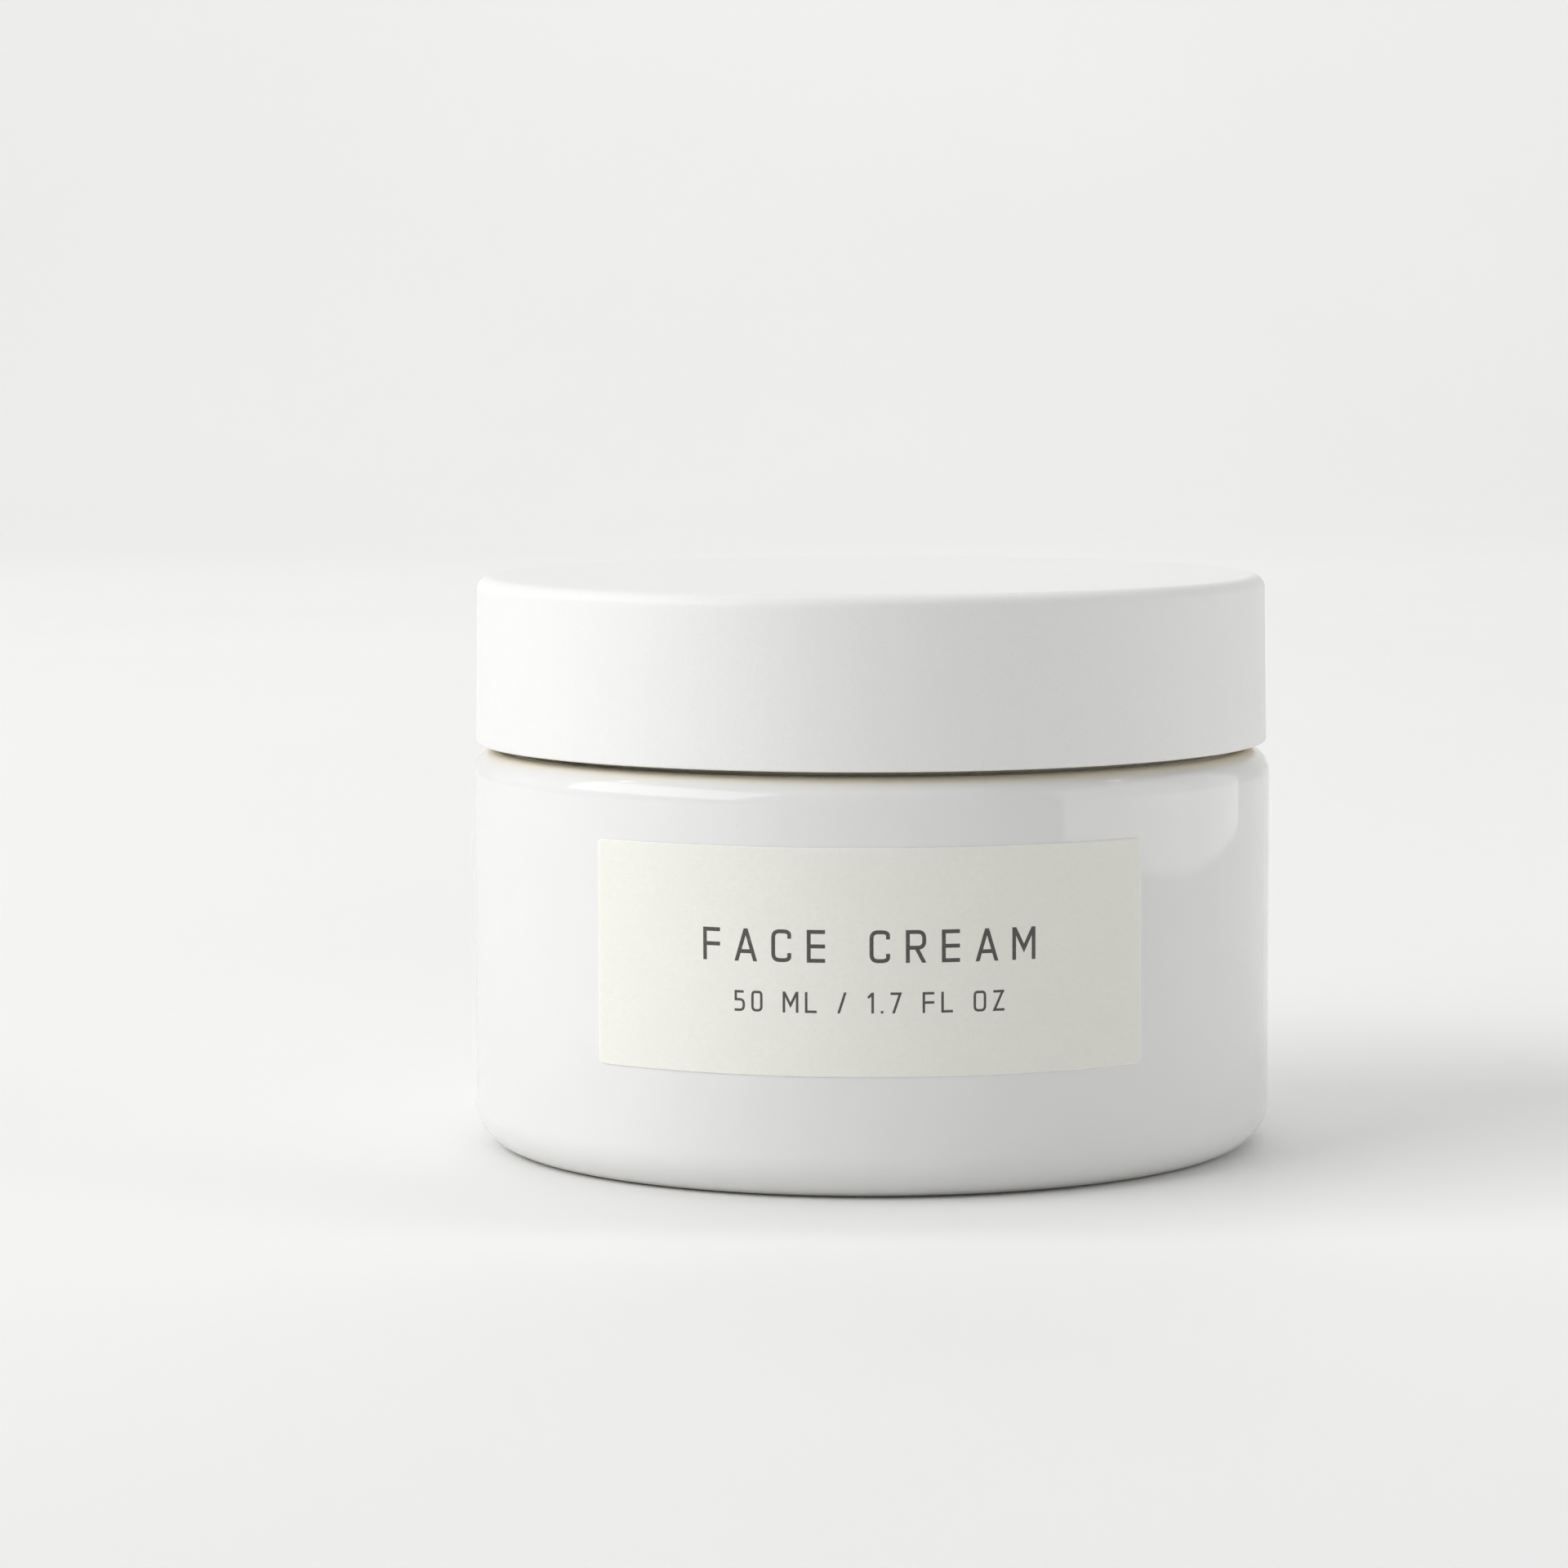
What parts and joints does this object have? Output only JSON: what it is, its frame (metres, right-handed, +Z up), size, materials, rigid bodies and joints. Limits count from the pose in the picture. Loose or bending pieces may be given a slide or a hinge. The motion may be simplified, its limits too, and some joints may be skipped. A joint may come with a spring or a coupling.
{
  "type": "cosmetic cream jar",
  "caption": "Low, wide cosmetic cream jar: glossy white jar with a paper label, lift-out refill cup, sealing disc and a matt white screw lid.",
  "frame": {"origin": "centre of the foot, on the surface the jar stands on", "axes": "+Z up along the jar's axis; the front label faces -Y; +X is to the right of someone who reads the label"},
  "size_m": [0.065, 0.0651, 0.0463],
  "materials": {
    "glaze": "gloss",
    "matt_plastic": "matte",
    "moulded_plastic": "satin",
    "cup_plastic": "satin",
    "disc_plastic": "satin",
    "soft_ring": "matte",
    "liner_foam": "matte",
    "label_paper": "matte",
    "base_paper": "matte"
  },
  "bodies": {
    "jar": {"outer_jar": "glaze", "cup_collar": "moulded_plastic", "front_label": "label_paper", "base_label": "base_paper"},
    "cup": {"refill_cup": "cup_plastic", "cup_ring": "soft_ring"},
    "disc": {"sealing_disc": "disc_plastic"},
    "liner": {"lid_liner": "liner_foam"},
    "lid": {"lid_insert": "moulded_plastic", "lid_shell": "matt_plastic"}
  },
  "joints": [
    {"name": "cup_lift", "type": "slide", "parent": "jar", "child": "cup", "axis": [0, 0, 1], "range_m": [0, 0.036]},
    {"name": "lid_rise", "type": "slide", "parent": "cup", "child": "liner", "axis": [0, 0, 1], "range_m": [0, 0.018]},
    {"name": "lid_turn", "type": "hinge", "parent": "liner", "child": "lid", "pos_m": [0, 0, 0.0438], "axis": [0, 0, 1], "range_deg": [0, 540]},
    {"name": "disc_lift", "type": "slide", "parent": "cup", "child": "disc", "axis": [0, 0, 1], "range_m": [0, 0.009]}
  ],
  "couplings": [
    {"joint": "lid_rise", "follows": "lid_turn", "m_per_rad": 0.0019098},
    {"joint": "disc_lift", "follows": "lid_turn", "m_per_rad": 0.0009549}
  ]
}
